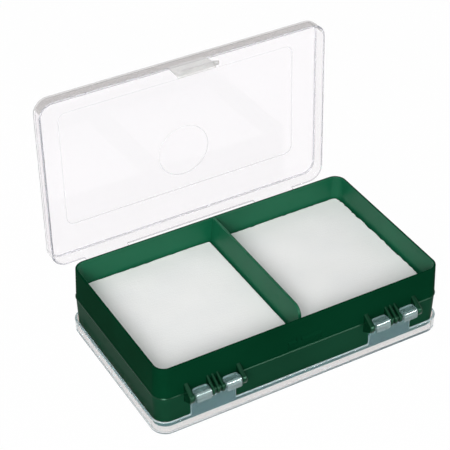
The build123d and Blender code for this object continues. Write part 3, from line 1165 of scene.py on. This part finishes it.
@dataclass
class FoamPad:
    """A pad of foam sheet on the floor of one upper compartment, its cut edges slightly torn."""

    left: float
    right: float
    torn: dict[str, float]
    seed: int
    half_width: float = 48.8
    thickness: float = 4.1
    wall_corner: float = 4.8
    free_corner: float = 1.2
    edge_radius: float = 0.55
    step: float = 1.1
    margin: float = 1.0
    fade: float = 3.0
    bites: int = 56
    wave_length: float = 9.0
    wave_share: float = 0.45
    bite_share: float = 0.9
    crown: float = 0.10
    swell: float = 0.035
    swell_seed: int = 50
    lowest: float = 0.08

    def _lines(self, low: float, high: float) -> Array:
        """Grid lines from low to high, evenly spaced but closing up towards both ends."""
        close = self.margin * np.array([0.0, 0.06, 0.17, 0.34, 0.6])
        count = int((high - low - 2 * self.margin) / self.step) + 1
        even = np.linspace(low + self.margin, high - self.margin, count)
        return np.concatenate([low + close, even, high - close[::-1]])

    def _ragged(self, along: Array, amount: float, spin: np.random.Generator) -> Array:
        """How far a cut edge is torn back along its length: smooth waves plus short bites."""
        waves = sum(spin.uniform(0.3, 1.0) / n
                    * np.sin(along * n / self.wave_length + spin.uniform(0, 2 * pi))
                    for n in range(1, 9))
        places = np.sort(spin.uniform(along.min(), along.max(), self.bites))
        bites = np.interp(along, places, spin.uniform(0, 1, self.bites) ** 2)
        return amount * (self.wave_share * (0.5 + 0.25 * waves) + self.bite_share * bites)

    def _tear(self, x: Array, y: Array) -> tuple[Array, Array]:
        """Pull the four edges in by their raggedness, fading out towards the middle."""
        spin = np.random.default_rng(self.seed)
        for edge, low, inward in (("left", self.left, 1.0), ("right", self.right, -1.0)):
            pull = self._ragged(y[0, :], self.torn[edge], spin)[None, :]
            x = x + inward * pull * np.clip(1 - np.abs(x - low) / self.fade, 0, 1)
        for edge, inward in (("front", 1.0), ("back", -1.0)):
            pull = self._ragged(x[:, 0], self.torn[edge], spin)[:, None]
            away = np.abs(y + inward * self.half_width)
            y = y + inward * pull * np.clip(1 - away / self.fade, 0, 1)
        return x, y

    def _corners(self, x: Array, y: Array) -> tuple[Array, Array]:
        """Round the four corners: each corner's square of the grid becomes a quarter disc."""
        free_left = abs(self.left) < abs(self.right)
        for sign_x, corner_x in ((-1, self.left), (1, self.right)):
            radius = self.free_corner if (sign_x < 0) == free_left else self.wall_corner
            for sign_y in (-1, 1):
                middle = corner_x - sign_x * radius, sign_y * (self.half_width - radius)
                a = np.clip(sign_x * (x - middle[0]) / radius, 0, None)
                b = np.clip(sign_y * (y - middle[1]) / radius, 0, None)
                inside = (a > 0) & (b > 0)
                along = sign_x * radius * a * np.sqrt(np.clip(1 - b**2 / 2, 0, 1))
                across = sign_y * radius * b * np.sqrt(np.clip(1 - a**2 / 2, 0, 1))
                x = np.where(inside, middle[0] + along, x)
                y = np.where(inside, middle[1] + across, y)
        return x, y

    def _waves(self, x: Array, y: Array) -> Array:
        """Low swell of the upper face: a slight crown and long waves, all below full height."""
        spin = np.random.default_rng(self.seed + self.swell_seed)
        across = 2 * (x - (self.left + self.right) / 2) / (self.right - self.left)
        crown = -self.crown * across**4 - self.crown * (y / self.half_width) ** 4
        swell = sum(self.swell * np.sin(x * spin.uniform(0.05, 0.2) + y * spin.uniform(-0.2, 0.2)
                                        + spin.uniform(0, 2 * pi)) for _ in range(6))
        return crown + swell - self.lowest

    def build(self, name: str, node: str, finish: Material) -> None:
        """Make the pad and dress it.

        The upper face is a grid over the pad's rectangle whose corners are rounded and edges torn;
        near the edge it drops along a quarter circle, and below that the sides fall straight to the
        floor.

        Args:
            name: the piece's name.
            node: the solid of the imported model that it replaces.
            finish: the foam's material.
        """
        lines = self._lines(self.left, self.right), self._lines(-self.half_width, self.half_width)
        x, y = np.meshgrid(*lines, indexing="ij")
        inset = np.minimum(np.minimum(x - self.left, self.right - x), self.half_width - np.abs(y))
        rest = np.clip(self.edge_radius - inset, 0, self.edge_radius)
        drop = self.edge_radius - np.sqrt(self.edge_radius**2 - rest**2)
        height = self.thickness + self._waves(x, y) * np.clip(inset / self.fade, 0, 1) - drop
        x, y = self._tear(*self._corners(x, y))
        surface = Surface()
        points = np.stack([x, y, BOX.floor_half + height], axis=-1).reshape(-1, 3)
        grid = surface.add(points).reshape(x.shape)
        for low, high in zip(grid, grid[1:]):
            surface.bridge(low, high, closed=False)
        rim = np.concatenate([grid[:, 0], grid[-1, 1:], grid[-2::-1, -1], grid[0, -2:0:-1]])
        edge = points[rim]
        for share in (0.5, 0.0):
            level = BOX.floor_half + share * (edge[:, 2] - BOX.floor_half)
            lower = surface.add(flat_ring(edge[:, :2], level))
            surface.bridge(rim, lower)
            rim = lower
        surface.faces.append(rim.tolist())
        pad = surface.piece(name, Stance.UPPER)
        dress(pad, [finish], "tray", "foam", node)


# Studio

@dataclass
class Studio:
    """White studio: floor, lamps, surroundings and the camera where the photographer stood."""

    camera_place: Triple = (-352.8, -583.64, 583.82)
    camera_azimuth: float = -29.738
    camera_elevation: float = 36.904
    camera_roll: float = -0.062
    focal_length: float = 127.012
    sensor_width: float = 36.0
    clip_range: Pair = (0.05, 20.0)
    aim: Triple = (0.0, 0.02, 0.03)
    floor_half: float = 3.0
    floor_level: float = -0.0002
    floor_bright: float = 0.985
    floor_pale: float = 0.8
    ambient: float = 0.22
    front_share: float = 0.85
    zenith: float = 0.35

    def camera(self) -> None:
        """Create the camera: turned by the azimuth, down by the elevation and by the roll."""
        tilt = 90.0 - self.camera_elevation
        turns = ((self.camera_azimuth, "Z"), (tilt, "X"), (self.camera_roll, "Z"))
        place = Matrix.Translation(Vector(self.camera_place) * MILLIMETRE)
        for angle, axis in turns:
            place = place @ Matrix.Rotation(radians(angle), 4, axis)
        lens = bpy.data.cameras.new("photograph_camera")
        lens.lens = self.focal_length
        lens.sensor_width = self.sensor_width
        lens.clip_start, lens.clip_end = self.clip_range
        camera = placed("photograph_camera", lens)
        camera.matrix_world = place
        bpy.context.scene.camera = camera

    def lamp(self, name: str, place: Triple, size: Pair, power: float,
             gloss_only: bool = False) -> None:
        """A flat lamp turned to the box.

        Args:
            name: its name.
            place: its middle in metres.
            size: its width and height in metres.
            power: its power in watts.
            gloss_only: light only what mirrors it, as a card that stands in for a window.
        """
        light = bpy.data.lights.new(name, "AREA")
        light.shape = "RECTANGLE"
        light.size, light.size_y = size
        light.energy = power
        lamp = placed(name, light)
        lamp.visible_diffuse = not gloss_only
        toward = (Vector(self.aim) - Vector(place)).to_track_quat("-Z", "Y")
        lamp.matrix_world = Matrix.Translation(place) @ toward.to_matrix().to_4x4()

    @staticmethod
    def rays(shade: Shading, *kinds: str) -> list[Value]:
        """For each kind of ray, 1 for rays of it and 0 for the rest."""
        return [shade.node("ShaderNodeLightPath", output=f"Is {kind} Ray") for kind in kinds]

    def floor(self) -> None:
        """Plain pale floor that keeps the object's soft shadow and looks white around it."""
        shade = Shading(bpy.data.materials.new("studio_floor"))
        pale = (*[self.floor_pale] * 3, 1.0)
        matt = shade.node("ShaderNodeBsdfDiffuse", sockets={"Color": pale})
        white = {"Color": (1.0, 1.0, 1.0, 1.0), "Strength": 1.0}
        glow = shade.node("ShaderNodeEmission", sockets=white)
        straight, mirrored, through = self.rays(shade, "Camera", "Glossy", "Transmission")
        share = (straight | mirrored | through) * self.floor_bright
        ends = (-self.floor_half, self.floor_half)
        mesh = bpy.data.meshes.new("studio_floor")
        mesh.from_pydata([(x, y, 0.0) for y in ends for x in ends], [], [(0, 1, 3, 2)])
        mesh.materials.append(shade.finish(shade.mixed(share, matt, glow)))
        floor = placed("studio_floor", mesh)
        floor.location.z = self.floor_level

    def surroundings(self) -> None:
        """White all round for what is seen straight or through the lids, and a level of light.

        The light comes more from the front than from the back, in proportion to a direction's y.
        Mirrored rays see white at the horizon and a dimmer ceiling, as in a studio lit from the
        sides.
        """
        world = bpy.context.scene.world = bpy.data.worlds.new("studio_world")
        shade = Shading(world)
        straight, mirrored, through = self.rays(shade, "Camera", "Glossy", "Transmission")
        direct = straight | through
        way = {0: shade.node("ShaderNodeTexCoord")}
        height = shade.node("ShaderNodeSeparateXYZ", sockets=way, output="Z")
        depth = shade.node("ShaderNodeSeparateXYZ", sockets=way, output="Y")
        ceiling = 1.0 - (1.0 - self.zenith) * height.ramp(0.25, 0.8)
        lit = self.ambient * (1.0 - self.front_share * depth)
        level = lit + direct * (1.0 - lit) + mirrored * (1.0 - direct) * (ceiling - lit)
        white = {"Color": (1.0, 1.0, 1.0, 1.0), "Strength": level}
        shade.finish(shade.node("ShaderNodeBackground", sockets=white))

    def build(self) -> None:
        """Set up the whole studio."""
        self.camera()
        self.floor()
        self.surroundings()
        self.lamp("overhead_softbox", (0.05, -0.15, 1.25), size=(0.9, 0.7), power=3.0)
        self.lamp("front_left_softbox", (-0.62, -0.82, 0.66), size=(0.5, 0.5), power=13.0)
        self.lamp("window_card", (0.476, -0.95, 0.56), size=(0.34, 0.24), power=5.6,
                  gloss_only=True)
        bpy.context.scene.view_settings.view_transform = "Standard"


def main() -> None:
    """Build the studio and every piece."""
    logging.basicConfig(level=logging.INFO, format="%(message)s")
    Studio().build()
    Tray().build([green.material() for green in GREENS])
    clear = {finish.name: finish.material() for finish in CLEARS}
    for half, stance, body in (("below", Stance.LOWER, "lower_lid"),
                               ("above", Stance.OPEN, "upper_lid")):
        # The skirt's painted light and the edges' painted reflection take the copy for this lid.
        order = ("clear_panel", f"clear_skirt_{half}", "clear_side", "milky_clip",
                 f"worked_edge_{half}", "latch_tab")
        Lid().build(f"lid_{half}", stance, body, [clear[part] for part in order])
    foam = FoamSheet().material()
    torn_left = {"left": 0.1, "right": 0.15, "front": 0.1, "back": 0.45}
    torn_right = {"left": 0.1, "right": 1.1, "front": 0.1, "back": 0.55}
    FoamPad(-85.3, -1.9, torn_left, 3).build("foam_sheet_left", "foam_pad_left", foam)
    FoamPad(2.325, 85.3, torn_right, 8).build("foam_sheet_right", "foam_pad_right", foam)


if __name__ == "__main__":
    main()
